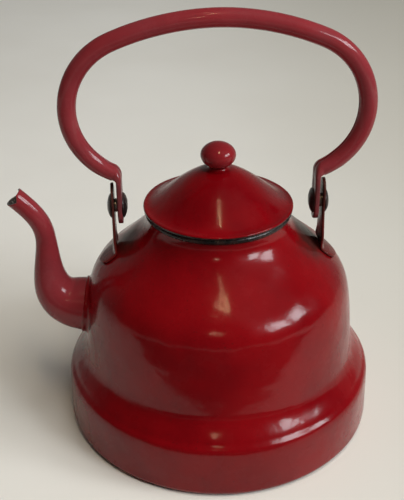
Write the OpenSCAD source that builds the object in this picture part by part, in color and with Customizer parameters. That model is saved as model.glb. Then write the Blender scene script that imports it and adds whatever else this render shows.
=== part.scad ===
// Stovetop kettle in enamelled pressed steel, with a folding bail handle and a lift-off lid.
// Millimetres. +Z is up, the gooseneck spout points along -X, and the bail stands in the XZ plane.
// The origin is the centre of the flat ring the kettle stands on.

/* [View] */
// node to draw, or all

/* [Body] */
// radius of the drum at its foot
drum_r = 111; // [90:1:125]
// radius of the drum wall just under the step
wall_r = 110.3; // [90:0.1:125]
// thickness of the enamelled sheet
sheet = 1.2; // [0.8:0.1:2]
// height where the drum wall starts to turn in
wall_z = 29; // [20:1:40]
// radius of the dome just above the step
waist_r = 96.6; // [80:0.1:105]
// height of the dome's foot above the step
waist_z = 57; // [50:1:70]
// radius of the dome where the shoulder starts
shoulder_r = 91.8; // [80:0.1:100]
// height where the shoulder starts
shoulder_z = 102; // [90:1:115]
// outer radius of the neck collar
neck_r = 49; // [40:0.5:60]
// top of the neck collar
neck_top = 159.6; // [150:0.1:170]

/* [Neck rim and lid] */
// centre height of the rolled rim
rim_z = 159.3; // [150:0.1:170]
// half thickness of the rolled rim
rim_tube = 2.1; // [1.5:0.1:4]
// radius of the lid over its turned-down edge
lid_r = 51; // [45:0.5:60]
// height of the lid's apex
lid_top = 188.6; // [180:0.1:200]
// wall of the lid
lid_sheet = 1.0; // [0.6:0.1:2]
// widest radius of the knob
knob_r = 11.9; // [9:0.1:16]
// half height of the knob
knob_h = 8.8; // [6:0.1:12]
// centre height of the knob
knob_z = 198.4; // [190:0.1:205]

/* [Spout] */
// height of the spout's root on the dome
spout_z = 84.2; // [70:0.1:100]
// outer radius at the root
root_r = 19.4; // [15:0.1:25]
// outer radius at the mouth
mouth_r = 7; // [5:0.1:12]
// wall of the spout
spout_sheet = 1.1; // [0.8:0.1:2]

/* [Handle] */
// height of the hinge pins
hinge_z = 163.2; // [150:0.1:175]
// height of the bail's centre line above the pins
bail_rise = 126; // [100:1:150]
// half width of the bail's centre line
bail_half = 97.2; // [80:0.1:110]
// height of the widest point above the pins
bail_belly = 67; // [50:1:80]
// outer radius of the rolled tube
tube_r = 6.1; // [4:0.1:9]
// wall of the rolled tube
tube_sheet = 1.2; // [0.8:0.1:2]
// width of the open seam
seam_w = 1.3; // [0.5:0.1:3]
// radius of the pins
pin_r = 2.5; // [2:0.1:4]
// radial clearance of the bail on its pins
pin_gap = 0.06; // [0.01:0.01:0.1]
// radius of the rivet heads
head_r = 8.7; // [6:0.1:11]

/* [Hidden] */
red = [0.48, 0.02, 0.03];
black = [0.05, 0.045, 0.045];
steel = [0.45, 0.44, 0.43];
fine = 128;
lug_in = 70.4;            // inner face of a lug, from the middle
lug_out = 72.4;           // outer face of a lug
tab_in = 64.6;            // inner face of a bail tab
tab_out = 68.4;           // outer face of a bail tab
tab_half = 8.6;           // half width of a tab
tab_low = 13;             // how far a tab reaches below the pin
rim_r = neck_r - 0.7;     // centre radius of the rolled rim
side_R = 49;              // bend radius of the bail's upper corners
low_R = 47;               // bend radius of the bail's lower corners
crown = bail_rise - bail_belly;
// radius of the bail's top bend, which runs smoothly into the corners
top_R = (pow(bail_half - side_R, 2) + crown * crown - side_R * side_R) / (2 * (crown - side_R));
top_lean = atan2(bail_belly - (bail_rise - top_R), bail_half - side_R);

// Bezier curve of any order
function mix(a, b, t) = a * (1 - t) + b * t;
function bez1(P, t) = len(P) == 1 ? P[0] : bez1([for (i = [0 : len(P) - 2]) mix(P[i], P[i + 1], t)], t);
function curve(P, n, first = 0) = [for (i = [first : n]) bez1(P, i / n)];
function arc(c, r, a0, a1, n) = [for (i = [0 : n]) c + r * [cos(mix(a0, a1, i / n)), sin(mix(a0, a1, i / n))]];

// a profile moved by t towards its left-hand side
function unit(v) = v / norm(v);
function side(P, i) = let (a = P[max(i - 1, 0)], b = P[min(i + 1, len(P) - 1)], d = unit(b - a)) [-d[1], d[0]];
function inset(P, t) = [for (i = [0 : len(P) - 1]) P[i] + t * side(P, i)];
function back(P) = [for (i = [len(P) - 1 : -1 : 0]) P[i]];

// outside of the drum, step, dome and neck, from the foot upwards
step_mid = [105.7, 42];
shoulder_low = [66.3, 133.4];
drum_line = concat([[drum_r - 7, 0]], arc([drum_r - 5, 5], 5, -90, 0, 5));
step_line = concat(curve([[wall_r, wall_z], [wall_r, wall_z + 11], [step_mid[0] + 2.7, step_mid[1] - 4.2], step_mid], 8),
                   curve([step_mid, step_mid + [-2.8, 4.4], [waist_r + 0.6, waist_z - 6], [waist_r, waist_z]], 8, 1));
dome_line = curve([[waist_r, waist_z], [95.5, 69], [94.3, 90], [shoulder_r, shoulder_z]], 6, 1);
top_line = concat(curve([[shoulder_r, shoulder_z], [88.9, 117.4], [78.6, 122.3], shoulder_low], 12, 1),
                  curve([shoulder_low, [53.5, 144.9], [neck_r + 0.2, 148.6], [neck_r, 156.8]], 10, 1),
                  [[neck_r, neck_top]]);
outside = concat(drum_line, step_line, dome_line, top_line);
inside = inset(outside, sheet);

module body_fill(grow = 0) {
    rotate_extrude($fn = fine)
        polygon(concat([[0, -1]], [[drum_r - 7 + grow, -1]], inset(outside, -grow), [[0, neck_top]]));
}

module body_shell() {
    color(red) difference() {
        rotate_extrude($fn = fine) polygon(concat(outside, back(inside)));
        // hole under the spout
        translate([-70, 0, spout_z]) rotate([0, -90, 0]) cylinder(r = root_r - 2.6, h = 60, $fn = 64);
    }
}

// a flat disc inside the body's turned-in foot, its edge joggled up to lie on the foot
module bottom_plate() {
    r = drum_r - 7.05;
    color(black) rotate_extrude($fn = fine)
        polygon([[0, 0], [r, 0], [r, sheet + 0.05], [r + 1.8, sheet + 0.05], [r + 1.8, 2 * sheet + 0.05],
                 [r - sheet, 2 * sheet + 0.05], [r - sheet, sheet], [0, sheet]]);
}

module neck_rim() {
    hollow = 1.25;
    a = asin(0.62 / hollow);
    b = asin(0.62 / rim_tube);
    color(black) rotate_extrude($fn = fine)
        polygon(concat(arc([rim_r + 0.1, rim_z], rim_tube, -90 + b, 270 - b, 28),
                       arc([rim_r + 0.1, rim_z], hollow, 270 - a, -90 + a, 20)));
}

// centre line and radius of the spout; u runs from 0 at the root to 2 at the mouth
spout_a = [[-86, spout_z], [-116, spout_z], [-120, 98], [-119.3, 122]];
spout_b = [[-119.3, 122], [-118.6, 146], [-118.5, 152.5], [-137.6, 171.4]];
function ease(x) = x >= 1 ? 1 : x * x * (3 - 2 * x);
function spout_at(u) = u <= 1 ? bez1(spout_a, u) : bez1(spout_b, u - 1);
function spout_dir(u) = unit(spout_at(min(u + 0.01, 2)) - spout_at(max(u - 0.01, 0)));
function spout_rad(u) = mouth_r + (root_r - mouth_r) * (1 - ease(u / 1.35));

// a smooth tube along the spout's line, with its radius reduced by cut and its ends run on by more
module spout_tube(cut, more) {
    rings = 24;
    n = 30;
    pts = [for (i = [0 : rings]) let (u = 2 * i / rings, c = spout_at(u), d = spout_dir(u), r = spout_rad(u) - cut,
               e = (i == 0 ? -more : i == rings ? more : 0))
           for (k = [0 : n - 1]) let (a = 360 * k / n)
           [c[0] + e * d[0] + r * cos(a) * d[1], r * sin(a), c[1] + e * d[1] - r * cos(a) * d[0]]];
    walls = [for (i = [0 : rings - 1]) for (k = [0 : n - 1]) for (h = [0, 1])
             let (a = i * n + k, b = i * n + (k + 1) % n, c = a + n, d = b + n) h == 0 ? [a, c, b] : [b, c, d]];
    polyhedron(pts, concat(walls, [[for (k = [0 : n - 1]) k]],
               [[for (k = [0 : n - 1]) rings * n + n - 1 - k]]), convexity = 6);
}

module spout_whole() {
    difference() {
        spout_tube(0, 0);
        spout_tube(spout_sheet, 3);
        body_fill();
        // the side walls fall away to a pouring lip
        rotate([90, 0, 0]) linear_extrude(40, center = true)
            polygon([[-134.6, 169.6], [-150, 163.2], [-150, 190], [-134.6, 190]]);
    }
}

module spout_near_half() {
    color(red) intersection() {
        spout_whole();
        translate([-200, -60, 0]) cube([150, 60, 220]);
    }
}

module spout_far_half() {
    color(red) intersection() {
        spout_whole();
        translate([-200, 0, 0]) cube([150, 60, 220]);
    }
}

// a ring over the spout's root, wide enough for the spout to start its rise inside it
collar_bore = root_r + 0.45;

module spout_collar() {
    color(red) difference() {
        translate([-60, 0, spout_z]) rotate([0, -90, 0]) cylinder(r = collar_bore + 1.1, h = 39, $fn = 96);
        translate([-40, 0, spout_z]) rotate([0, -90, 0]) cylinder(r = collar_bore, h = 80, $fn = 96);
        body_fill();
    }
}

// one lug on the +X side: an upright strap with a foot bent out over the shoulder
module lug() {
    strap_top = hinge_z + 7.6;
    difference() {
        union() {
            difference() {
                translate([lug_in, 0, 0]) rotate([90, 0, 90]) linear_extrude(lug_out - lug_in)
                    polygon(concat(arc([0, strap_top], 8.6, 0, 180, 16),
                                   [[-8.6, 158], [-11, 140], [-11.5, 124], [11.5, 124], [11, 140], [8.6, 158]]));
                body_fill();
            }
            intersection() {
                difference() {
                    body_fill(1.6);
                    body_fill();
                }
                translate([lug_in, 0, 0]) rotate([90, 0, 90]) linear_extrude(14)
                    polygon(concat([[11.5, 140], [-11.5, 140]], arc([0, 131.5], 11.5, 180, 360, 16)));
            }
        }
        translate([60, 0, hinge_z]) rotate([0, 90, 0]) cylinder(r = pin_r + 0.05, h = 30, $fn = 48);
    }
}

module spout_side_lug() {
    color(red) mirror([1, 0, 0]) lug();
}

module far_side_lug() {
    color(red) lug();
}

// rivet along +X: domed head, shank, domed head
module rivet() {
    cap = 2.9;
    color(black) translate([0, 0, hinge_z]) rotate([0, 90, 0]) rotate_extrude($fn = 64)
        polygon(concat([[0, tab_in - 0.1 - cap]],
                       [for (i = [1 : 7]) [head_r * sin(90 * i / 7), tab_in - 0.6 - (cap - 0.5) * cos(90 * i / 7)]],
                       [[head_r, tab_in - 0.1], [pin_r, tab_in - 0.1], [pin_r, lug_out], [head_r, lug_out]],
                       [for (i = [7 : -1 : 1]) [head_r * sin(90 * i / 7), lug_out + 0.5 + (cap - 0.5) * cos(90 * i / 7)]],
                       [[0, lug_out + cap]]));
}

module spout_side_rivet() {
    mirror([1, 0, 0]) rivet();
}

module far_side_rivet() {
    rivet();
}

module spacer() {
    color(steel) translate([tab_out + 0.1, 0, hinge_z]) rotate([0, 90, 0]) difference() {
        cylinder(r = 4.6, h = lug_in - tab_out - 0.1, $fn = 48);
        translate([0, 0, -1]) cylinder(r = pin_r + 0.03, h = 6, $fn = 48);
    }
}

module spout_side_spacer() {
    mirror([1, 0, 0]) spacer();
}

module far_side_spacer() {
    spacer();
}

// +X half of the bail's line: [x, height over the pin, heading, half depth, half width], crown to tab
tab_mid = (tab_in + tab_out) / 2;
tab_bend = 5.5;
turn = acos((tab_mid - (bail_half - low_R) + tab_bend) / (low_R + tab_bend));
function bail_top(n) = [for (i = [0 : n - 1]) let (t = (90 - top_lean) * i / n)
    [top_R * sin(t), bail_rise - top_R + top_R * cos(t), -t, tube_r, tube_r]];
function bail_corner(n) = [for (i = [0 : n - 1]) let (t = top_lean * (1 - i / n))
    [bail_half - side_R + side_R * cos(t), bail_belly + side_R * sin(t), t - 90, tube_r, tube_r]];
function bail_low(n) = [for (i = [0 : n - 1]) let (t = turn * i / n, f = max(0, (i / n - 0.8) / 0.2))
    [bail_half - low_R + low_R * cos(t), bail_belly - low_R * sin(t), -90 - t, tube_r - 1.6 * f, tube_r + 0.6 * f]];
function bail_tab(n) = let (c = [tab_mid + tab_bend, bail_belly - (low_R + tab_bend) * sin(turn)])
    [for (i = [0 : n]) let (t = turn * (1 - i / n), f = i / n)
     [c[0] - tab_bend * cos(t), c[1] + tab_bend * sin(t), -90 - t, tube_r - 1.6 - 2.1 * f, tube_r + 0.6 + 1.6 * f]];
tab_depth = (tab_out - tab_in) / 2;
// the tube's last ring ends inside the tab, clear of its faces
bail_line = concat(bail_top(8), bail_corner(11), bail_low(12), bail_tab(6),
                   [[tab_mid, 13, -90, tab_depth - 0.3, tab_half - 1]]);

// section of the rolled tube at a point of the line, its open seam towards the inside of the loop
bail_sides = 20;
function bail_ring(q, flip) =
    let (n = [sin(q[2]), -cos(q[2])], hi = max(q[3] - tube_sheet, 0.6), wi = q[4] - tube_sheet,
         so = asin(seam_w / 2 / q[4]), si = asin(seam_w / 2 / wi))
    concat([for (k = [0 : bail_sides]) let (f = mix(so, 360 - so, k / bail_sides))
            [flip * (q[0] + q[3] * cos(f) * n[0]), flip * q[4] * sin(f), hinge_z + q[1] + q[3] * cos(f) * n[1]]],
           [for (k = [bail_sides : -1 : 0]) let (f = mix(si, 360 - si, k / bail_sides))
            [flip * (q[0] + hi * cos(f) * n[0]), flip * wi * sin(f), hinge_z + q[1] + hi * cos(f) * n[1]]]);

module bail_tube() {
    last = len(bail_line) - 1;
    m = 2 * bail_sides + 2;
    pts = concat([for (i = [last : -1 : 1]) for (p = bail_ring(bail_line[i], -1)) [p[0], -p[1], p[2]]],
                 [for (i = [0 : last]) for (p = bail_ring(bail_line[i], 1)) p]);
    rings = 2 * last;
    walls = [for (i = [0 : rings - 1]) for (k = [0 : m - 1]) for (h = [0, 1])
             let (a = i * m + k, b = i * m + (k + 1) % m, c = a + m, d = b + m) h == 0 ? [a, c, b] : [b, c, d]];
    first_cap = [for (k = [0 : bail_sides - 1]) [k, k + 1, m - 2 - k, m - 1 - k]];
    last_cap = [for (q = first_cap) [for (j = [3 : -1 : 0]) rings * m + q[j]]];
    polyhedron(pts, concat(walls, first_cap, last_cap), convexity = 10);
}

// +X tab, hanging on its pin
module bail_end() {
    difference() {
        translate([tab_in, 0, 0]) rotate([90, 0, 90]) linear_extrude(tab_out - tab_in)
            polygon(concat([[tab_half - 0.3, hinge_z + 14.5], [0.5 - tab_half, hinge_z + 14.5]],
                           arc([0, hinge_z - tab_low + tab_half], tab_half, 180, 360, 20)));
        translate([60, 0, hinge_z]) rotate([0, 90, 0]) cylinder(r = pin_r + pin_gap, h = 30, $fn = 64);
        // the seam runs on down the tab's inner face
        translate([tab_in - 1, -0.5, hinge_z + 3]) cube([1.9, 1, 16]);
    }
}

module handle_bail() {
    color(red) {
        bail_tube();
        bail_end();
        mirror([1, 0, 0]) bail_end();
    }
}

// outside of the lid from the brim to the apex
lid_line = concat([[lid_r - 0.1, 161.6], [lid_r, 162.9]],
                  curve([[lid_r - 0.3, 163.8], [41.3, 163.4], [25.4, 184.8], [8, lid_top]], 18),
                  [[3, lid_top + 0.3]]);
lid_under = inset(lid_line, lid_sheet);

module lid_shell() {
    lo = [for (i = [2 : len(lid_line) - 1]) lid_line[i] + lid_sheet * side(lid_line, i)];
    color(red) rotate_extrude($fn = fine)
        polygon(concat(lid_line, [[2.03, lid_top + 0.3], [2.03, lid_top + 0.3 - lid_sheet]], back(lo),
                       [[lid_r - 1.1, 161.6]]));
}

module lid_skirt() {
    r = neck_r - 3.5;
    color(red) rotate_extrude($fn = fine)
        polygon([[r - 1, 149], [r, 149], [r, 161.5], [lid_r - 1.15, 161.5], [lid_r - 1.15, 162.3], [r - 1, 162.3]]);
}

module knob_foot() {
    color(red) rotate_extrude($fn = 64)
        polygon([[2.03, lid_top + 0.32], [3, lid_top + 0.32], [7.6, lid_top + 0.05], [7.2, lid_top + 0.9],
                 [6.4, lid_top + 1.9], [2.03, lid_top + 1.9]]);
}

module lid_knob() {
    w = 1.0;
    low = -knob_h + 0.95;
    a0 = asin(low / knob_h);
    a1 = asin((low + w) / (knob_h - w));
    color(red) rotate_extrude($fn = 96)
        polygon(concat([[2.03, knob_z + low]],
                       [for (i = [0 : 20]) let (a = mix(a0, 90, i / 20)) [knob_r * cos(a), knob_z + knob_h * sin(a)]],
                       [for (i = [16 : -1 : 0]) let (a = mix(a1, 90, i / 16)) [(knob_r - w) * cos(a), knob_z + (knob_h - w) * sin(a)]],
                       [[2.03, knob_z + low + w]]));
}

module knob_rivet() {
    seat = knob_z - knob_h + 1.95;
    under = lid_top + 0.3 - lid_sheet;
    color(steel) rotate_extrude($fn = 48)
        polygon([[0, under - 2.2], [2.6, under - 1.7], [4.2, under - 0.7], [4.2, under - 0.14], [2, under - 0.02], [2, seat],
                 [4, seat], [4, seat + 0.5], [2.6, seat + 1.5], [0, seat + 1.9]]);
}

body_shell();
bottom_plate();
neck_rim();
spout_near_half();
spout_far_half();
spout_collar();
spout_side_lug();
far_side_lug();
handle_bail();
spout_side_rivet();
far_side_rivet();
spout_side_spacer();
far_side_spacer();
lid_shell();
lid_skirt();
knob_foot();
lid_knob();
knob_rivet();
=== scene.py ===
import math

import bpy
import numpy as np
from mathutils import Matrix, Vector


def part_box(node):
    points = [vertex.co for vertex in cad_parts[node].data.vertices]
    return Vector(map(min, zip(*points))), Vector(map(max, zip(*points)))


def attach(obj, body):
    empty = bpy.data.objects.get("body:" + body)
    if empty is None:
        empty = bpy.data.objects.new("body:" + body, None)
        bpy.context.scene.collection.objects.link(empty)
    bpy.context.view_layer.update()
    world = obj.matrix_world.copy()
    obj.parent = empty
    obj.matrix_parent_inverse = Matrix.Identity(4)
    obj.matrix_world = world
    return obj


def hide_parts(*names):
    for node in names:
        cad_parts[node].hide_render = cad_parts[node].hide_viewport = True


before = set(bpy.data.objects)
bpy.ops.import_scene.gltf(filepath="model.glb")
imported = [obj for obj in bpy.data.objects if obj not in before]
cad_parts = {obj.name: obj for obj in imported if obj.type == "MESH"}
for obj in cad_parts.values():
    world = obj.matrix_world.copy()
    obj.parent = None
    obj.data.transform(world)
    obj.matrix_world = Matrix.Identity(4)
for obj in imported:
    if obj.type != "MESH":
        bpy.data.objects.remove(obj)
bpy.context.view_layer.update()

MM = 0.001
BODY, BAIL, LID = "kettle", "bail", "lid"

# shared sizes in millimetres
SHEET = 1.2
LID_SHEET = 1.0
RIVET_HOLE_R = 2.03
SHARP_ANGLE = math.radians(38)


# ---------------------------------------------------------------- lines and meshes

def bezier_at(control, t):
    """The point at t, or the points at a column of t, of a Bezier curve of any order."""
    level = [np.array(p, float) for p in control]
    while len(level) > 1:
        level = [a * (1 - t) + b * t for a, b in zip(level, level[1:])]
    return level[0]


def bezier(control, count, first=0):
    """Points first to count along a Bezier curve."""
    return bezier_at(control, np.linspace(0, 1, count + 1)[first:, None])


def arc(centre, radius, start, end, count, first=0):
    """Points first to count along an arc, with its angles in degrees."""
    a = np.radians(np.linspace(start, end, count + 1)[first:])
    return np.array(centre) + radius * np.c_[np.cos(a), np.sin(a)]


def beside(line, distance):
    """The line moved to its left."""
    d = np.gradient(np.array(line), axis=0)
    d /= np.linalg.norm(d, axis=1)[:, None]
    return np.array(line) + distance * np.c_[-d[:, 1], d[:, 0]]


def smooth_step(x, low=0.0, high=1.0):
    """0 up to low, 1 from high on, and an S-curve between."""
    t = np.clip((np.asarray(x, float) - low) / (high - low), 0, 1)
    return t * t * (3 - 2 * t)


def rounded(corners, radius, steps=4):
    """A closed outline with each corner that is off the axis turned by a small curve."""
    on_axis, most_of_side = 0.01, 0.45
    corners = np.array(corners, float)
    line = []
    for i, here in enumerate(corners):
        if here[0] < on_axis:
            line.append(here)
            continue
        before, after = corners[i - 1], corners[(i + 1) % len(corners)]
        a, b = before - here, after - here
        cut = min(radius, most_of_side * np.linalg.norm(a), most_of_side * np.linalg.norm(b))
        a, b = a / np.linalg.norm(a), b / np.linalg.norm(b)
        line.extend(bezier([here + cut * a, here, here + cut * b], steps))
    return np.array(line)


def shade(mesh):
    """Smooth shading that keeps the sharp edges sharp."""
    mesh.polygons.foreach_set("use_smooth", np.ones(len(mesh.polygons), bool))
    mesh.set_sharp_from_angle(angle=SHARP_ANGLE)


def add_piece(name, points, faces, body, nodes, materials, face_slots=None):
    """A mesh in millimetres becomes a piece that rides on a body and stands for CAD nodes."""
    faces = turned_right_way(points, faces)
    mesh = bpy.data.meshes.new(name)
    mesh.from_pydata((np.array(points) * MM).tolist(), [], [list(map(int, f)) for f in faces])
    mesh.validate()
    obj = bpy.data.objects.new(name, mesh)
    bpy.context.collection.objects.link(obj)
    for material in materials:
        mesh.materials.append(material)
    if face_slots is not None:
        mesh.polygons.foreach_set("material_index", np.array(face_slots, np.int32))
    shade(mesh)
    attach(obj, body)
    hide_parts(*nodes)
    return obj


def lathe(profile, sides, axis="Z", height=0.0):
    """A closed profile of (radius, along) turned about Z, or about a line along X at a height.

    Gives the points, the faces and, for each face, which side of the profile it comes from.
    """
    profile = np.array(profile, float)
    n = len(profile)
    turn = np.linspace(0, 2 * np.pi, sides, endpoint=False)
    on_axis = profile[:, 0] < 1e-4
    points, index = [], np.zeros((sides, n), int)
    for j, (r, h) in enumerate(profile):
        for k, a in enumerate(turn):
            if on_axis[j] and k:
                index[k, j] = index[0, j]
                continue
            index[k, j] = len(points)
            across, along = r * np.cos(a), r * np.sin(a)
            points.append((across, along, h) if axis == "Z" else (h, across, along + height))
    faces, columns = [], []
    for k in range(sides):
        q = (k + 1) % sides
        for j in range(n):
            i = (j + 1) % n
            if on_axis[j] and on_axis[i]:
                continue
            face = [index[k, j], index[q, j], index[q, i], index[k, i]]
            faces.append(list(dict.fromkeys(face)))
            columns.append(j)
    return np.array(points), faces, np.array(columns)


def turned_right_way(points, faces):
    """The faces, turned over if the mesh's volume comes out negative."""
    total = 0.0
    for f in faces:
        a = points[f[0]]
        for i in range(1, len(f) - 1):
            total += np.dot(a, np.cross(points[f[i]], points[f[i + 1]]))
    return faces if total > 0 else [list(f)[::-1] for f in faces]


def sweep(rings):
    """Points and faces of a tube through rings of equal length, open at both ends."""
    rings = np.array(rings, float)
    count, m = rings.shape[:2]
    points = rings.reshape(-1, 3)
    faces = []
    for i in range(count - 1):
        for k in range(m):
            q = (k + 1) % m
            faces.append([i * m + k, i * m + q, (i + 1) * m + q, (i + 1) * m + k])
    return points, faces


def end_caps(rings):
    """The two flat end faces of a swept tube."""
    m, last = len(rings[0]), len(rings) - 1
    return [list(range(m)), [last * m + k for k in range(m)][::-1]]


def uneven(points, amount, size, seed):
    """Hand-made unevenness: each point moves a little, by a smooth sum of waves."""
    waves = 6
    rng = np.random.default_rng(seed)
    points = np.array(points, float)
    moved = points.copy()
    for _ in range(waves):
        wave = rng.normal(size=3)
        wave *= 2 * np.pi / (size * np.linalg.norm(wave)) * rng.uniform(0.7, 1.5)
        push = rng.normal(size=3)
        push /= np.linalg.norm(push)
        moved += amount / 3 * np.sin(points @ wave + rng.uniform(0, 6.28))[:, None] * push
    return moved


# ---------------------------------------------------------------- materials

def new_material(name):
    """A new node material, its tree and its Principled shader."""
    material = bpy.data.materials.new(name)
    material.use_nodes = True
    tree = material.node_tree
    return material, tree, tree.nodes["Principled BSDF"]


def node(tree, kind, **values):
    """A new node with its sockets, or its settings, given by name."""
    made = tree.nodes.new(kind)
    for key, value in values.items():
        if key in made.inputs:
            made.inputs[key].default_value = value
        else:
            setattr(made, key, value)
    return made


def place(tree):
    """Where a point is in its own piece, in metres."""
    return node(tree, "ShaderNodeTexCoord").outputs["Object"]


def noise(tree, scale, detail, rough, seed):
    """Noise about 1 / scale metres across, from 0 to 1."""
    shift = node(tree, "ShaderNodeVectorMath", operation="ADD")
    shift.inputs[1].default_value = (seed, seed * 1.7, seed * 0.6)
    made = node(tree, "ShaderNodeTexNoise", Scale=scale, Detail=detail, Roughness=rough)
    tree.links.new(place(tree), shift.inputs[0])
    tree.links.new(shift.outputs[0], made.inputs["Vector"])
    return made.outputs["Fac"]


def between(tree, value, low, high, to_low=0.0, to_high=1.0):
    """A value from low to high becomes to_low to to_high, smoothly and held at the ends."""
    made = node(tree, "ShaderNodeMapRange", interpolation_type="SMOOTHSTEP")
    ends = {"From Min": low, "From Max": high, "To Min": to_low, "To Max": to_high}
    for socket, number in ends.items():
        made.inputs[socket].default_value = number
    tree.links.new(value, made.inputs["Value"])
    return made.outputs["Result"]


def maths(tree, operation, a, b):
    """Two numbers or sockets joined by a maths node."""
    made = node(tree, "ShaderNodeMath", operation=operation)
    for socket, value in zip(made.inputs, (a, b)):
        if isinstance(value, (int, float)):
            socket.default_value = value
        else:
            tree.links.new(value, socket)
    return made.outputs[0]


def mixed(tree, share, a, b):
    """Colour a where share is 0 and colour b where it is 1."""
    made = node(tree, "ShaderNodeMix", data_type="RGBA")
    colours = [s for s in made.inputs if s.type == "RGBA"]
    tree.links.new(share, made.inputs[0])
    for socket, colour in zip(colours, (a, b)):
        if isinstance(colour, tuple):
            socket.default_value = (*colour, 1)
        else:
            tree.links.new(colour, socket)
    return [s for s in made.outputs if s.type == "RGBA"][0]


def distance_from(tree, centre, stretch):
    """Distance in metres from a point in millimetres, with each axis stretched."""
    away = node(tree, "ShaderNodeVectorMath", operation="SUBTRACT")
    away.inputs[1].default_value = [c * MM for c in centre]
    scaled = node(tree, "ShaderNodeVectorMath", operation="MULTIPLY")
    scaled.inputs[1].default_value = stretch
    length = node(tree, "ShaderNodeVectorMath", operation="LENGTH")
    tree.links.new(place(tree), away.inputs[0])
    tree.links.new(away.outputs[0], scaled.inputs[0])
    tree.links.new(scaled.outputs[0], length.inputs[0])
    return length.outputs["Value"]


def bumps(tree, shader, layers):
    """Bumps from (height, metres) layers, stacked, on the shader and its coat."""
    normal = None
    for height, depth in layers:
        made = node(tree, "ShaderNodeBump", Strength=1.0, Distance=depth)
        tree.links.new(height, made.inputs["Height"])
        if normal is not None:
            tree.links.new(normal, made.inputs["Normal"])
        normal = made.outputs["Normal"]
    tree.links.new(normal, shader.inputs["Normal"])
    tree.links.new(normal, shader.inputs["Coat Normal"])


RED = (0.19, 0.0010, 0.0033)
DEEP_RED = (0.135, 0.0006, 0.0026)
BRIGHT_RED = (0.22, 0.004, 0.006)
# pale pink of a dust film and of painted sheen
DUST_AND_SHEEN_PINK = (0.30, 0.085, 0.10)
NEAR_BLACK = (0.018, 0.007, 0.006)
BROWN = (0.055, 0.016, 0.012)


def set_gloss(shader, specular, coat, coat_rough):
    """How strongly the base and the clear coat over it reflect."""
    shader.inputs["Specular IOR Level"].default_value = specular
    shader.inputs["Coat Weight"].default_value = coat
    shader.inputs["Coat Roughness"].default_value = coat_rough


def enamel(name, seed, soot_and_shade_spots=(), wear=0.0, painted_shade=0.0, dust_and_sheen=0.0):
    """Red vitreous enamel: a deep, slightly mottled red under a wavy glassy coat.

    The spots are (centre in mm, stretch of each axis, reach in mm) of dark patches: soot round the pins,
    and soot with painted shade on the dome beside the lugs. wear blackens sharp edges; the shade setting
    is painted shade that darkens the piece towards brown in patches, and the sheen setting mixes in a
    dull pink film, partly dust and partly painted sheen.
    """
    spot_edge, ragged_by, spot_cover = 14, 0.016, 0.93
    material, tree, shader = new_material(name)
    set_gloss(shader, 0.06, 0.42, 0.12)
    mottle = between(tree, noise(tree, 24, 4, 0.55, seed), 0.3, 0.72)
    colour = mixed(tree, mottle, RED, DEEP_RED)
    bright = between(tree, noise(tree, 9, 2, 0.5, seed + 3), 0.45, 0.75, 0.0, 0.35)
    colour = mixed(tree, bright, colour, BRIGHT_RED)
    specks = between(tree, noise(tree, 900, 1, 0.5, seed + 5), 0.735, 0.76, 0.0, 0.8)
    colour = mixed(tree, specks, colour, NEAR_BLACK)
    rough = between(tree, noise(tree, 55, 5, 0.6, seed + 1), 0.3, 0.75, 0.2, 0.34)
    ragged = noise(tree, 130, 6, 0.65, seed + 2)
    # each spot darkens the colour towards near-black and brown: soot round the pins, and on the dome
    # beside the lugs soot with painted shade
    for centre, stretch, reach in soot_and_shade_spots:
        away = maths(tree, "ADD", distance_from(tree, centre, stretch),
                     maths(tree, "MULTIPLY", ragged, ragged_by))
        dark_patch = between(tree, away, reach * MM, (reach + spot_edge) * MM, spot_cover, 0.0)
        colour = mixed(tree, dark_patch, colour, mixed(tree, ragged, NEAR_BLACK, BROWN))
        rough = maths(tree, "ADD", rough, maths(tree, "MULTIPLY", dark_patch, 0.35))
    if wear:
        edge = node(tree, "ShaderNodeNewGeometry").outputs["Pointiness"]
        edge = between(tree, edge, 0.53, 0.62, 0.0, wear)
        patches = between(tree, ragged, 0.42, 0.62, 0.25, 1.0)
        colour = mixed(tree, maths(tree, "MULTIPLY", edge, patches), colour, NEAR_BLACK)
    # a dull pink film mixed into the colour: partly dust, partly painted sheen
    if dust_and_sheen:
        dull = between(tree, noise(tree, 30, 3, 0.5, seed + 11), 0.3, 0.7, dust_and_sheen * 0.7, dust_and_sheen)
        colour = mixed(tree, dull, colour, DUST_AND_SHEEN_PINK)
    # painted shade: the whole piece is darkened towards brown, more in some patches than in others
    if painted_shade:
        shade_patches = between(tree, noise(tree, 60, 5, 0.6, seed + 7), 0.36, 0.64, painted_shade * 0.45, painted_shade)
        colour = mixed(tree, shade_patches, colour, BROWN)
    tree.links.new(colour, shader.inputs["Base Color"])
    tree.links.new(rough, shader.inputs["Roughness"])
    bumps(tree, shader, [(noise(tree, 26, 2, 0.5, seed + 8), 0.0016),
                         (noise(tree, 160, 2, 0.5, seed + 9), 0.00012),
                         (noise(tree, 1500, 2, 0.6, seed + 4), 0.000012)])
    return material


def black_enamel(name, seed, roughness):
    """Black enamel with worn brown patches, pitted."""
    material, tree, shader = new_material(name)
    set_gloss(shader, 0.25, 0.25, 0.2)
    patches = between(tree, noise(tree, 180, 6, 0.65, seed), 0.4, 0.68)
    colour = mixed(tree, patches, (0.006, 0.005, 0.005), (0.028, 0.013, 0.011))
    tree.links.new(colour, shader.inputs["Base Color"])
    rough = between(tree, noise(tree, 300, 4, 0.6, seed + 2), 0.3, 0.7,
                    roughness, roughness + 0.25)
    tree.links.new(rough, shader.inputs["Roughness"])
    bumps(tree, shader, [(noise(tree, 140, 4, 0.6, seed + 4), 0.0004),
                         (noise(tree, 1400, 3, 0.6, seed + 5), 0.00005)])
    return material


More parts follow.
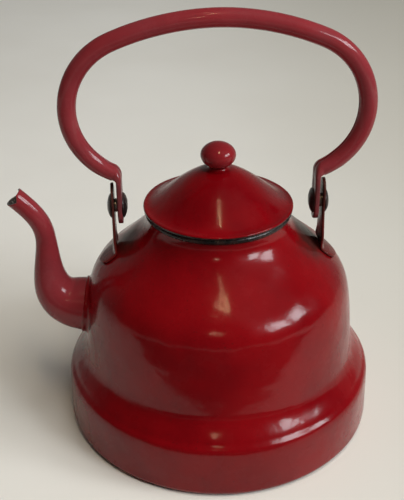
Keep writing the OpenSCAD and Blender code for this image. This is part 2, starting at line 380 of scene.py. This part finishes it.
def inside_enamel(name):
    """Grey-black ground enamel of the inside, finely speckled."""
    material, tree, shader = new_material(name)
    set_gloss(shader, 0.5, 0.5, 0.15)
    fleck = between(tree, noise(tree, 700, 1, 0.5, 2.0), 0.6, 0.66)
    colour = mixed(tree, noise(tree, 40, 4, 0.6, 1.0), (0.035, 0.032, 0.032), (0.085, 0.075, 0.07))
    colour = mixed(tree, fleck, colour, (0.3, 0.29, 0.28))
    tree.links.new(colour, shader.inputs["Base Color"])
    rough = between(tree, noise(tree, 90, 4, 0.6, 6.0), 0.3, 0.7, 0.25, 0.45)
    tree.links.new(rough, shader.inputs["Roughness"])
    bumps(tree, shader, [(noise(tree, 60, 3, 0.5, 4.0), 0.0006)])
    return material


def dull_steel(name):
    """Bare steel of the rivet and spacers, dulled by heat and steam."""
    material, tree, shader = new_material(name)
    shader.inputs["Metallic"].default_value = 1.0
    dark_patch = noise(tree, 400, 5, 0.6, 1.0)
    colour = mixed(tree, dark_patch, (0.42, 0.40, 0.38), (0.16, 0.13, 0.11))
    tree.links.new(colour, shader.inputs["Base Color"])
    tree.links.new(between(tree, dark_patch, 0.3, 0.7, 0.3, 0.5), shader.inputs["Roughness"])
    bumps(tree, shader, [(noise(tree, 900, 4, 0.6, 3.0), 0.00003)])
    return material


def pale_top(name):
    """Pale matt worktop, with painted shade that makes it greyer towards the right."""
    material, tree, shader = new_material(name)
    tone = between(tree, noise(tree, 3, 3, 0.5, 1.0), 0.3, 0.7)
    colour = mixed(tree, tone, (0.74, 0.73, 0.68), (0.79, 0.785, 0.74))
    # painted shade: the colour darkens towards the right
    across = node(tree, "ShaderNodeSeparateXYZ")
    tree.links.new(place(tree), across.inputs[0])
    right = between(tree, across.outputs["X"], -0.15, 0.45)
    colour = mixed(tree, right, colour, (0.52, 0.505, 0.445))
    tree.links.new(colour, shader.inputs["Base Color"])
    shader.inputs["Roughness"].default_value = 0.55
    bumps(tree, shader, [(noise(tree, 1200, 2, 0.5, 3.0), 0.00003)])
    return material


# ---------------------------------------------------------------- body

SPOUT_Z = 84.2
SPOUT_HOLE_R = 16.8


def outside_line():
    """Outside of the drum, step, dome and neck, from the foot upwards: (radius, height)."""
    drum_r = -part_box("body_shell")[0][1] / MM
    neck_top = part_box("body_shell")[1][2] / MM
    wall_r, waist_r, shoulder_r, neck_r = drum_r - 0.7, 96.6, 91.8, 49.0
    foot_r, wall_top = 5, 29
    step_mid, waist_z, shoulder_z, shoulder_low = (105.7, 42), 57, 102, (66.3, 133.4)
    return np.vstack([
        [[drum_r - foot_r - 2, 0]],
        arc((drum_r - foot_r, foot_r), foot_r, -90, 0, 14),
        bezier([(wall_r, wall_top), (wall_r, 40), (108.4, 37.8), step_mid], 26),
        bezier([step_mid, (102.9, 46.4), (waist_r + 0.6, 51), (waist_r, waist_z)], 22, 1),
        bezier([(waist_r, waist_z), (95.5, 69), (94.3, 90), (shoulder_r, shoulder_z)], 26, 1),
        bezier([(shoulder_r, shoulder_z), (88.9, 117.4), (78.6, 122.3), shoulder_low], 40, 1),
        bezier([shoulder_low, (53.5, 144.9), (neck_r + 0.2, 148.6), (neck_r, 156.8)], 34, 1),
        [[neck_r, neck_top - 0.5], [neck_r - 0.3, neck_top]],
    ])


OUTSIDE = outside_line()


def dome_radius(height):
    """Radius of the body's outside at a height."""
    return np.interp(height, OUTSIDE[:, 1], OUTSIDE[:, 0])


def build_body(red, ground):
    """Drum, step, dome and neck as one sheet: red outside and ground enamel inside."""
    inner = beside(OUTSIDE, SHEET)[::-1]
    inner[0] = [OUTSIDE[-1][0] - SHEET / 2, OUTSIDE[-1][1]]
    inner[-1] = [OUTSIDE[0][0], SHEET]
    points, faces, columns = lathe(np.vstack([OUTSIDE, inner]), 224)
    points = uneven(points, 0.16, 70, 5)
    points[:, 2] = np.maximum(points[:, 2], 0.0)
    body = add_piece("body_shell_enamel", points, faces, BODY,
                     ["body_shell"], [red, ground], columns >= len(OUTSIDE) - 1)
    cut_spout_hole(body)


def cut_spout_hole(body):
    """The round hole that the spout is welded over."""
    middle_x, length = -100, 60
    bpy.ops.mesh.primitive_cylinder_add(vertices=96, radius=SPOUT_HOLE_R * MM, depth=length * MM,
                                        location=(middle_x * MM, 0, SPOUT_Z * MM),
                                        rotation=(0, math.pi / 2, 0))
    cutter = bpy.context.object
    cut = body.modifiers.new("hole", "BOOLEAN")
    cut.object, cut.operation, cut.solver = cutter, "DIFFERENCE", "EXACT"
    made = bpy.data.meshes.new_from_object(body.evaluated_get(bpy.context.evaluated_depsgraph_get()))
    body.modifiers.clear()
    body.data = made
    shade(made)
    bpy.data.objects.remove(cutter)


def build_bottom(black):
    """Flat bottom disc with its joggled edge lying on the body's foot."""
    r, edge, gap = 103.95, 1.8, 0.05
    outline = rounded([(0, 0), (r, 0), (r, SHEET + gap), (r + edge, SHEET + gap),
                       (r + edge, 2 * SHEET), (r - SHEET, 2 * SHEET), (r - SHEET, SHEET),
                       (0, SHEET)], 0.3, 3)
    points, faces, _ = lathe(outline, 128)
    add_piece("bottom_disc", points, faces, BODY, ["bottom_plate"], [black])


def build_neck_rim(black):
    """Rolled bead round the neck, open underneath where the sheet curls back."""
    centre, tube, hollow, half_slot = (48.4, 159.3), 2.1, 1.25, 0.62
    a = math.degrees(math.asin(half_slot / hollow))
    b = math.degrees(math.asin(half_slot / tube))
    outline = np.vstack([arc(centre, tube, -90 + b, 270 - b, 44),
                         arc(centre, hollow, 270 - a, -90 + a, 30)])
    points, faces, _ = lathe(outline, 192)
    points = uneven(points, 0.12, 30, 9)
    add_piece("neck_bead", points, faces, BODY, ["neck_rim"], [black])


# ---------------------------------------------------------------- spout

ROOT_R, MOUTH_R, SPOUT_SHEET = 19.4, 7.0, 1.1
LOW_BEND = [(-86, SPOUT_Z), (-116, SPOUT_Z), (-120, 98), (-119.3, 122)]
HIGH_BEND = [(-119.3, 122), (-118.6, 146), (-118.5, 152.5), (-137.6, 171.4)]


def spout_line(u):
    """Centre line of the spout as (x, z); u runs from 0 at the root to 2 at the mouth."""
    control, t = (LOW_BEND, u) if u <= 1 else (HIGH_BEND, u - 1)
    return bezier_at(control, t)


def spout_radius(u):
    """The spout narrows from its root to its mouth, most of it in the bend."""
    return MOUTH_R + (ROOT_R - MOUTH_R) * (1 - smooth_step(u / 1.35))


def spout_point(u, angle, cut):
    """A point on the spout's surface, cut millimetres in from its outside; angle 0 is underneath."""
    centre = spout_line(u)
    ahead = spout_line(min(u + 0.01, 2)) - spout_line(max(u - 0.01, 0))
    ahead /= np.linalg.norm(ahead)
    r = spout_radius(u) - cut
    across, down = math.sin(angle), math.cos(angle)
    return np.array([centre[0] + r * down * ahead[1], r * across, centre[1] - r * down * ahead[0]])


def root_start(angle, cut):
    """The u at which a line along the spout leaves the middle of the dome's sheet."""
    low, high, halvings = 0.0, 0.45, 24
    for _ in range(halvings):
        u = (low + high) / 2
        p = spout_point(u, angle, cut)
        inside = math.hypot(p[0], p[1]) < dome_radius(p[2]) - SHEET / 2
        low, high = (u, high) if inside else (low, u)
    return low


def lip_end(angle):
    """The u at which a line along the spout ends: a slanting cut leaves a pouring lip."""
    notch_x, notch_z, slope = -134.6, 169.6, 0.4156
    for u in np.linspace(1.7, 2.0, 301):
        x, _, z = spout_point(u, angle, SPOUT_SHEET / 2)
        if x < notch_x and z > notch_z + (x - notch_x) * slope:
            return u
    return 2.0


def spout_strip(angle, lengthwise):
    """One closed line along the wall: outside, round lip and inside."""
    end = lip_end(angle)

    def wall(cut):
        start = root_start(angle, cut)
        return [spout_point(start + (end - start) * i / lengthwise, angle, cut)
                for i in range(lengthwise + 1)]

    outer, inner = wall(0), wall(SPOUT_SHEET)
    ahead = outer[-1] - outer[-2]
    ahead /= np.linalg.norm(ahead)
    middle = (outer[-1] + inner[-1]) / 2
    lip = [middle + (outer[-1] - middle) * math.cos(a) + ahead * SPOUT_SHEET / 2 * math.sin(a)
           for a in np.linspace(0, math.pi, 7)[1:-1]]
    return outer + lip + inner[::-1]


def build_spout(side, name, cad_node, red, ground):
    """Half of the spout, from the seam underneath round to the seam on top."""
    lengthwise, round_half = 110, 40
    angles = np.linspace(0, math.pi, round_half + 1) * side
    strips = [spout_strip(angle, lengthwise) for angle in angles]
    points, faces = sweep(strips)
    m, last = len(strips[0]), len(strips) - 1
    seam = [[k, k + 1, m - 2 - k, m - 1 - k] for k in range(m // 2 - 1)]
    inner_from = lengthwise + 2
    slots = [1 if (f[0] % m) >= inner_from else 0 for f in faces] + [0] * (2 * len(seam))
    faces = faces + seam + [[last * m + v for v in f[::-1]] for f in seam]
    points = uneven(points, 0.12, 34, 21)
    # both halves end exactly on the seam plane
    points[:m, 1] = points[last * m:, 1] = 0.0
    add_piece(name, points, faces, BODY, [cad_node], [red, ground], slots)


def build_collar(red):
    """Short ring that hugs the spout's root, flared at the dome and thin at its far edge."""
    edge_u, thick, clear, flare, thinned, sides = 0.135, 1.0, 0.02, 2.4, 0.75, 128
    along = np.linspace(0, 1, 12)
    depths = [thick + flare * max(0, 1 - 2.2 * t) ** 2 - thick * thinned * max(0, 5 * t - 4) ** 2
              for t in along]
    rings = []
    for angle in np.linspace(0, 2 * math.pi, sides, endpoint=False):
        start = root_start(angle, -thick)
        us = start + (edge_u - start) * along
        outer = [spout_point(u, angle, -depth) for u, depth in zip(us, depths)]
        inner = [spout_point(u, angle, -clear) for u in us[::-1]]
        rings.append(outer + inner)
    rings.append(rings[0])
    points, faces = sweep(rings)
    # the last ring lies on the first, so its points are left out
    keep = sides * len(rings[0])
    faces = [[v % keep for v in f] for f in faces]
    add_piece("spout_root_collar", points[:keep], faces, BODY, ["spout_collar"], [red])


# ---------------------------------------------------------------- lugs, rivets, spacers

LUG_HALF = 1.0


def superellipse(angle, depth, width, power):
    """An oval at power 2 that comes nearer to a rectangle at higher powers."""
    c, s = np.cos(angle), np.sin(angle)
    return np.c_[depth * np.sign(c) * np.abs(c) ** (2 / power),
                 width * np.sign(s) * np.abs(s) ** (2 / power)]


def ring_on(place_xz, heading, section):
    """A section of (across the strip, along Y) set square to a line in the XZ plane."""
    across = np.array([math.sin(heading), -math.cos(heading)])
    return np.c_[place_xz[0] + section[:, 0] * across[0], section[:, 1],
                 place_xz[1] + section[:, 0] * across[1]]


def lug_path():
    """Middle of the lug's strap, straight down and then out along the dome, and its length so far."""
    strap_x, top, foot_top, foot_low, bend = 71.4, 179.4, 130.2, 119.6, 4
    heights = OUTSIDE[:, 1]
    foot = beside(OUTSIDE[(heights > foot_low) & (heights < foot_top)][::-1], LUG_HALF)
    straight = np.c_[np.full(60, strap_x), np.linspace(top, foot[0][1] + bend, 60)]
    line = np.vstack([straight, foot])
    step = np.r_[0, np.cumsum(np.linalg.norm(np.diff(line, axis=0), axis=1))]
    even = np.linspace(0, step[-1], 130)
    line = np.c_[np.interp(even, step, line[:, 0]), np.interp(even, step, line[:, 1])]
    smoothings = 24
    for _ in range(smoothings):
        line[1:-1] = (line[:-2] + 2 * line[1:-1] + line[2:]) / 4
    return line, even


def lug_width(z, along, total):
    """Half width of the strap: a round top, then wider down to a round foot."""
    top_r, foot_r, shortest = 8.6, 11.5, 0.004
    width = np.interp(z, [124, 140, 158], [foot_r, 11, top_r])
    head = np.clip(along / top_r, shortest, 1)
    tail = np.clip((total - along) / (foot_r * 0.8), shortest, 1)
    return width * np.sqrt(1 - (1 - head) ** 2) * np.sqrt(1 - (1 - tail) ** 2)


def build_lug(sign, name, cad_node, red):
    """Upright strap with its foot laid on the dome."""
    tip_half, squareness = 0.6, 5
    line, even = lug_path()
    heads = np.unwrap(np.arctan2(*np.gradient(line, axis=0)[:, ::-1].T))
    angle = np.linspace(0, 2 * math.pi, 56, endpoint=False)
    rings = []
    for p, h, s in zip(line, heads, even):
        w = float(lug_width(p[1], s, even[-1]))
        section = superellipse(angle, LUG_HALF, max(w, tip_half), squareness)
        rings.append(ring_on(p, h, section))
    points, faces = sweep(rings)
    # the foot follows the dome's curve sideways too
    bend_top, foot_top = 140, 131
    lean = smooth_step(-points[:, 2], -bend_top, -foot_top)
    round_x = np.sqrt(points[:, 0] ** 2 - points[:, 1] ** 2)
    points[:, 0] = points[:, 0] * (1 - lean) + round_x * lean
    points = uneven(points, 0.25, 40, 31 + sign)
    points[:, 0] *= sign
    add_piece(name, points, faces + end_caps(rings), BODY, [cad_node], [red])


def build_rivet(sign, name, cad_node, black):
    """Rivet with a low domed head on each side of the joint, hammered a little uneven."""
    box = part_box(cad_node)
    inner, outer = sorted(abs(corner[0]) / MM for corner in box)
    pin_z = (box[0][2] + box[1][2]) / 2 / MM
    head_r, pin_r, cap, crown = 8.6, 2.5, 2.9, 0.7
    a = np.radians(np.linspace(0, 90, 15))
    # each head is an ellipse with its middle raised by the crown
    rise = crown + (cap - crown) * (1 - np.cos(a)) - crown * np.cos(a) ** 2
    head = np.c_[head_r * np.sin(a), rise]
    under = [[head_r - 0.1, cap], [pin_r, cap]]
    low = np.vstack([head, under]) + [0, inner]
    high = np.vstack([head, under]) * [1, -1] + [0, outer]
    outline = np.vstack([low, high[::-1]])
    points, faces, _ = lathe(outline, 96, "X", pin_z)
    points = uneven(points, 0.3, 12, 41 + sign)
    points[:, 0] = np.clip(points[:, 0], inner + 0.05, outer - 0.05) * sign
    add_piece(name, points, faces, BODY, [cad_node], [black])


def build_spacer(sign, name, cad_node, steel):
    """Ring on the pin, between the lug and the bail's tab."""
    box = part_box(cad_node)
    near, far = sorted(abs(corner[0]) / MM for corner in box)
    pin_z = (box[0][2] + box[1][2]) / 2 / MM
    bore_r, ring_r, edge = 2.53, 4.6, 0.35
    outline = rounded([(bore_r, near), (ring_r, near), (ring_r, far), (bore_r, far)], edge)
    points, faces, _ = lathe(outline, 64, "X", pin_z)
    points[:, 0] *= sign
    add_piece(name, points, faces, BODY, [cad_node], [steel])


# ---------------------------------------------------------------- bail handle

PIN_Z = 163.2
BAIL_HALF, BAIL_BELLY, BAIL_RISE = 97.2, 67.0, 126.0
CORNER_R, LOW_R, TAB_BEND = 49.0, 47.0, 5.5
TAB_MID, TAB_HALF, TAB_LOW = 66.5, 8.6, 13.0
TUBE_R = 6.1


def bail_half_line():
    """+X half of the bail from crown to tab tip.

    Each point is x, height over the pins, heading, and the section's depth, width and power.
    """
    crown = BAIL_RISE - BAIL_BELLY
    run = BAIL_HALF - CORNER_R
    top_r = (run ** 2 + crown ** 2 - CORNER_R ** 2) / (2 * (crown - CORNER_R))
    lean = math.atan2(BAIL_BELLY - (BAIL_RISE - top_r), run)
    turn = math.acos((TAB_MID - (BAIL_HALF - LOW_R) + TAB_BEND) / (LOW_R + TAB_BEND))
    down = -math.pi / 2
    # half depth, half width and power where the tube meets the tab's bend, under the bend, and at
    # the tip
    flattens_from = 0.72
    neck_depth, neck_width, neck_power = 5.1, 6.8, 2.4
    bend_depth, bend_width, bend_power = 2.0, 8.3, 4
    tab_depth, tip_depth, tip_width, tip_power = 1.9, 1.65, 0.9, 5.5
    line = []
    for f in np.linspace(0, 1, 40, endpoint=False):
        t = (math.pi / 2 - lean) * f
        line.append((top_r * math.sin(t), BAIL_RISE - top_r + top_r * math.cos(t), -t,
                     TUBE_R, TUBE_R, 2))
    for f in np.linspace(0, 1, 44, endpoint=False):
        t = lean * (1 - f)
        line.append((run + CORNER_R * math.cos(t), BAIL_BELLY + CORNER_R * math.sin(t),
                     down + t, TUBE_R, TUBE_R, 2))
    for f in np.linspace(0, 1, 60, endpoint=False):
        t = turn * f
        g = float(smooth_step(f, flattens_from, 1))
        line.append((BAIL_HALF - LOW_R + LOW_R * math.cos(t), BAIL_BELLY - LOW_R * math.sin(t),
                     down - t, TUBE_R + (neck_depth - TUBE_R) * g,
                     TUBE_R + (neck_width - TUBE_R) * g, 2 + (neck_power - 2) * g))
    centre = (TAB_MID + TAB_BEND, BAIL_BELLY - (LOW_R + TAB_BEND) * math.sin(turn))
    for f in np.linspace(0, 1, 22, endpoint=False):
        t = turn * (1 - f)
        g = 1 - (1 - f) ** 1.6
        line.append((centre[0] - TAB_BEND * math.cos(t), centre[1] + TAB_BEND * math.sin(t), down - t,
                     neck_depth + (bend_depth - neck_depth) * g,
                     neck_width + (bend_width - neck_width) * g,
                     neck_power + (bend_power - neck_power) * f))
    straight = centre[1] + TAB_LOW
    for f in np.linspace(0, 1, 46):
        gone = straight * f
        tip = min(1.0, max((straight - gone) / TAB_HALF, 0.003))
        line.append((TAB_MID, centre[1] - gone, down, tip_depth + (tab_depth - tip_depth) * tip,
                     max(TAB_HALF * math.sqrt(1 - (1 - tip) ** 2), tip_width),
                     bend_power + (tip_power - bend_power) * f))
    return line


def bail_section(depth, width, power):
    """Open rolled section: outside, two rounded lips at the seam, and the hollow."""
    outer_n, inner_n, lip_n = 60, 36, 5
    # the wall thins and the seam closes where the tube is pressed flat
    wall = min(SHEET, 0.62 * depth, 0.5 * width)
    open_gap, pressed_share, pressed_depth, full_depth = 1.3, 0.45, 1.5, 5.1
    openness = min(1.0, (depth - pressed_depth) / (full_depth - pressed_depth))
    gap = open_gap * min(1, width / 5) * (pressed_share + (1 - pressed_share) * openness)
    lip_r = wall / 2
    seam = min(gap / 2 + lip_r, 0.8 * width)

    def start(w):
        return math.asin(min(0.98, seam / w) ** (power / 2))

    a, b = start(width), start(width - wall)
    outer = superellipse(np.linspace(a, 2 * math.pi - a, outer_n), depth, width, power)
    inner = superellipse(np.linspace(2 * math.pi - b, b, inner_n), depth - wall, width - wall, power)
    turn = np.linspace(0, math.pi, lip_n + 2)[1:-1]
    far = (outer[-1] + inner[0]) / 2 + np.c_[lip_r * np.cos(turn), lip_r * np.sin(turn)]
    near = (outer[0] + inner[-1]) / 2 + np.c_[-lip_r * np.cos(turn), -lip_r * np.sin(turn)]
    return np.vstack([outer, far, inner, near])


def build_bail(red):
    """The whole bail: the half line and its mirror image, as one rolled tube."""
    right = [ring_on((x, PIN_Z + up), heading, bail_section(depth, width, power))
             for x, up, heading, depth, width, power in bail_half_line()]
    left = [ring * np.array([-1, 1, 1]) for ring in right]
    rings = np.array(left[:0:-1] + right)
    points, faces = sweep(rings)
    # even close to the pins, so that the tabs stay flat, and hand-made higher up
    even_below, fades_over = PIN_Z + 20, 30
    high = np.clip((points[:, 2] - even_below) / fades_over, 0, 1)[:, None]
    points = points + (uneven(points, 0.35, 90, 51) - points) * high
    add_piece("bail_rolled_tube", points, faces + end_caps(rings), BAIL,
              ["handle_bail"], [red])


# ---------------------------------------------------------------- lid

def build_lid_shell(red, black, ground):
    """Lid with concave flanks, a flat brim and a turned-down edge, which is black."""
    lid_r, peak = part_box("lid_shell")[1][0] / MM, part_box("lid_shell")[1][2] / MM
    top = peak - 0.3
    outer = np.vstack([[(lid_r - 0.45, 161.6)], [(lid_r - 0.1, 161.75)], [(lid_r, 162.3)],
                       bezier([(lid_r, 162.8), (lid_r - 0.05, 163.65), (lid_r - 0.9, 163.78)], 6),
                       bezier([(lid_r - 1.6, 163.86), (41.3, 163.4), (25.4, 184.8), (8, top)], 70),
                       [(3, peak), (RIVET_HOLE_R, peak)]])
    inner = beside(outer, LID_SHEET)[::-1]
    inner[0] = (RIVET_HOLE_R, peak - LID_SHEET)
    inner = inner[inner[:, 0] < lid_r - 1.4]
    outline = np.vstack([outer, inner, [(lid_r - 1.1, 162.3), (lid_r - 1.0, 161.75)]])
    points, faces, columns = lathe(outline, 208)
    points = uneven(points, 0.16, 44, 61)
    black_edge = (columns < 3) | (columns >= len(outline) - 1)
    slots = np.where(columns >= len(outer) - 1, 2, np.where(black_edge, 1, 0))
    add_piece("lid_enamel", points, faces, LID,
              ["lid_shell"], [red, black, ground], slots)


def build_lid_skirt(ground):
    """Ring under the lid that guides it in the neck, with a flange at its top."""
    r, flange_r, low, seat, top, edge = 45.5, 49.85, 149, 161.5, 162.3, 0.35
    inner_r = r - LID_SHEET
    outline = rounded([(inner_r, low), (r, low), (r, seat), (flange_r, seat), (flange_r, top),
                       (inner_r, top)], edge)
    points, faces, _ = lathe(outline, 160)
    add_piece("lid_guide_ring", points, faces, LID, ["lid_skirt"], [ground])


def build_knob(red):
    """Flattened hollow ball, cut flat underneath and open there for the rivet."""
    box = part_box("lid_knob")
    r, half, flat, wall = box[1][0] / MM, 8.8, 0.95, 1.0
    centre = box[1][2] / MM - half
    low = flat - half
    a0, a1 = math.asin(low / half), math.asin((low + wall) / (half - wall))
    a = np.linspace(a0, math.pi / 2, 44)
    b = np.linspace(a1, math.pi / 2, 30)[::-1]
    outline = np.vstack([[(RIVET_HOLE_R, centre + low)], np.c_[r * np.cos(a), centre + half * np.sin(a)],
                         np.c_[(r - wall) * np.cos(b), centre + (half - wall) * np.sin(b)],
                         [(RIVET_HOLE_R, centre + low + wall)]])
    outline[np.abs(outline[:, 0]) < 1e-6, 0] = 0
    points, faces, _ = lathe(outline, 128)
    points = uneven(points, 0.14, 18, 71)
    add_piece("lid_ball_knob", points, faces, LID, ["lid_knob"], [red])


def build_knob_foot(red):
    """Short neck between the lid and the knob, wider at its foot."""
    low, high = (corner[2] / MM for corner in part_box("knob_foot"))
    flank = bezier([(8.2, low), (6.7, low + 0.5), (6.4, high)], 10)
    outline = np.vstack([[(RIVET_HOLE_R, low + 0.2)], flank, [(RIVET_HOLE_R, high)]])
    points, faces, _ = lathe(outline, 96)
    add_piece("knob_neck", points, faces, LID, ["knob_foot"], [red])


def finish_cad_node(name, material):
    """A CAD node that is shown as it is, with its own material."""
    materials = bpy.data.objects[name].data.materials
    materials.clear()
    materials.append(material)


# ---------------------------------------------------------------- stage

KETTLE_MIDDLE = (0, 0, 0.11)
WINDOW = (0.93, 0.96, 1.0)
WARM = (1.0, 0.70, 0.38)
WARM_FAR = (1.0, 0.74, 0.45)
CEILING = (1.0, 0.985, 0.95)


def aim(obj, target):
    """Turn a light to face a point."""
    direction = Vector(target) - obj.location
    obj.rotation_euler = direction.to_track_quat("-Z", "Y").to_euler()


def add_light(name, azimuth, elevation, distance, size, power, colour, in_reflections=True):
    """A rectangular light that faces the kettle; azimuth 0 is in front and 90 on the right."""
    a, e = math.radians(azimuth), math.radians(elevation)
    lamp = bpy.data.lights.new(name, "AREA")
    lamp.shape, lamp.size, lamp.size_y = "RECTANGLE", size[0], size[1]
    lamp.energy, lamp.color = power, colour
    obj = bpy.data.objects.new(name, lamp)
    bpy.context.collection.objects.link(obj)
    towards = Vector((math.cos(e) * math.sin(a), -math.cos(e) * math.cos(a), math.sin(e)))
    obj.location = Vector(KETTLE_MIDDLE) + distance * towards
    aim(obj, KETTLE_MIDDLE)
    obj.visible_camera = False
    obj.visible_glossy = in_reflections


def add_lights():
    """A window in two panes, two warm lamps for the small highlights, and a soft fill."""
    add_light("window_left_pane", 52, 31, 3.2, (0.80, 0.86), 39, WINDOW)
    add_light("window_right_pane", 73, 31, 3.2, (0.74, 0.86), 35, WINDOW)
    add_light("ceiling_strip", 4, 70, 1.5, (0.010, 0.46), 2.0, WARM)
    add_light("far_lamp", -5, 35.7, 2.6, (0.05, 0.05), 1.6, WARM_FAR)
    add_light("ceiling_bounce", 60, 66, 3.4, (2.8, 2.8), 82, CEILING, in_reflections=False)


def add_floor(material):
    """A wide worktop for the kettle to stand on."""
    metres = 9
    bpy.ops.mesh.primitive_grid_add(x_subdivisions=8, y_subdivisions=8, size=metres, location=(0, 0, 0))
    floor = bpy.context.object
    floor.name = "floor"
    floor.data.materials.append(material)


def add_dark_card():
    """A black card on the floor in front, seen only in reflections, as in a photographer's set."""
    width, depth, near_edge = 1.5, 1.0, -0.19
    bpy.ops.mesh.primitive_plane_add(size=1, location=(-0.05, near_edge - depth / 2, 0.001))
    card = bpy.context.object
    card.name = "dark_card"
    card.scale = (width, depth, 1)
    material, _, shader = new_material("card_black")
    shader.inputs["Base Color"].default_value = (0.01, 0.009, 0.008, 1)
    shader.inputs["Roughness"].default_value = 1.0
    card.data.materials.append(material)
    card.visible_camera = False
    card.visible_diffuse = False
    card.visible_shadow = False


def add_world():
    """A dim room, pale low down behind the kettle; the camera itself sees an even pale wall."""
    dim, pale, wall = (0.05, 0.046, 0.042), (0.26, 0.26, 0.245), (0.62, 0.61, 0.58)
    world = bpy.data.worlds.new("room")
    bpy.context.scene.world = world
    world.use_nodes = True
    tree = world.node_tree
    background = tree.nodes["Background"]
    direction = node(tree, "ShaderNodeTexCoord").outputs["Generated"]
    split = node(tree, "ShaderNodeSeparateXYZ")
    tree.links.new(direction, split.inputs[0])
    behind = between(tree, split.outputs["Y"], -0.15, 0.75)
    low = between(tree, split.outputs["Z"], 0.05, 0.7, 1.0, 0.25)
    colour = mixed(tree, maths(tree, "MULTIPLY", behind, low), dim, pale)
    seen = node(tree, "ShaderNodeLightPath").outputs["Is Camera Ray"]
    colour = mixed(tree, seen, colour, wall)
    tree.links.new(colour, background.inputs["Color"])


def add_camera():
    """Camera in front and above, turned a little so that the kettle stands right of the middle."""
    pitch, heading, aside = 29.73, -3.3, 1.054
    stands_at, lens = (-0.0309, -0.5364, 0.4326), 63.4
    camera = bpy.data.objects.new("camera", bpy.data.cameras.new("camera"))
    bpy.context.collection.objects.link(camera)
    turn = (Matrix.Rotation(math.radians(heading), 4, "Z")
            @ Matrix.Rotation(math.radians(90 - pitch), 4, "X")
            @ Matrix.Rotation(math.radians(aside), 4, "Y"))
    camera.matrix_world = Matrix.Translation(stands_at) @ turn
    camera.data.lens = lens
    camera.data.clip_start = 0.01
    bpy.context.scene.camera = camera
    bpy.context.scene.view_settings.view_transform = "Standard"


# ---------------------------------------------------------------- build

def build_all():
    """Every material and every piece; soot lies round both pins, and soot with painted shade lies on the
    dome inside both lugs.
    """
    # on the dome inside the lugs the dark patches are soot and painted shade; on the lugs and the bail
    # they are soot round the pins
    dome_soot_and_shade = [((64, 2, 138), (0.9, 0.55, 1.1), 15), ((-64, 2, 138), (0.9, 0.55, 1.1), 12)]
    lug_soot = [((x, 0, 168), (1, 1, 0.6), 14) for x in (72, -72)]
    bail_soot = [((x, 0, 170), (1, 1, 0.7), 13) for x in (64, -64)]
    body_red = enamel("red_enamel_body", 1.0, dome_soot_and_shade)
    # the spout, the knob and the bail get a dull pink film, partly dust and partly painted sheen
    spout_red = enamel("red_enamel_spout", 12.0, dust_and_sheen=0.3)
    lid_red = enamel("red_enamel_lid", 23.0, wear=0.25)
    knob_red = enamel("red_enamel_knob", 31.0, wear=0.2, dust_and_sheen=0.15)
    # the lugs are darkened towards brown by painted shade
    lug_red = enamel("red_enamel_lugs", 43.0, lug_soot, wear=0.9, painted_shade=0.85)
    bail_red = enamel("red_enamel_bail", 57.0, bail_soot, wear=0.9, dust_and_sheen=0.3)
    rim_black = black_enamel("black_enamel_rim", 3.0, 0.16)
    rivet_black = black_enamel("black_enamel_rivets", 9.0, 0.3)
    base_black = black_enamel("black_enamel_base", 15.0, 0.3)
    ground = inside_enamel("ground_enamel")
    steel = dull_steel("dull_steel")

    build_body(body_red, ground)
    build_bottom(base_black)
    build_neck_rim(rim_black)
    build_spout(-1, "spout_half_near", "spout_near_half", spout_red, ground)
    build_spout(1, "spout_half_far", "spout_far_half", spout_red, ground)
    build_collar(body_red)
    build_lug(-1, "lug_by_spout", "spout_side_lug", lug_red)
    build_lug(1, "lug_opposite", "far_side_lug", lug_red)
    build_rivet(-1, "rivet_by_spout", "spout_side_rivet", rivet_black)
    build_rivet(1, "rivet_opposite", "far_side_rivet", rivet_black)
    build_spacer(-1, "spacer_by_spout", "spout_side_spacer", steel)
    build_spacer(1, "spacer_opposite", "far_side_spacer", steel)
    build_bail(bail_red)
    build_lid_shell(lid_red, rim_black, ground)
    build_lid_skirt(ground)
    build_knob(knob_red)
    build_knob_foot(lid_red)
    finish_cad_node("knob_rivet", steel)


add_camera()
build_all()
add_floor(pale_top("worktop"))
add_dark_card()
add_lights()
add_world()
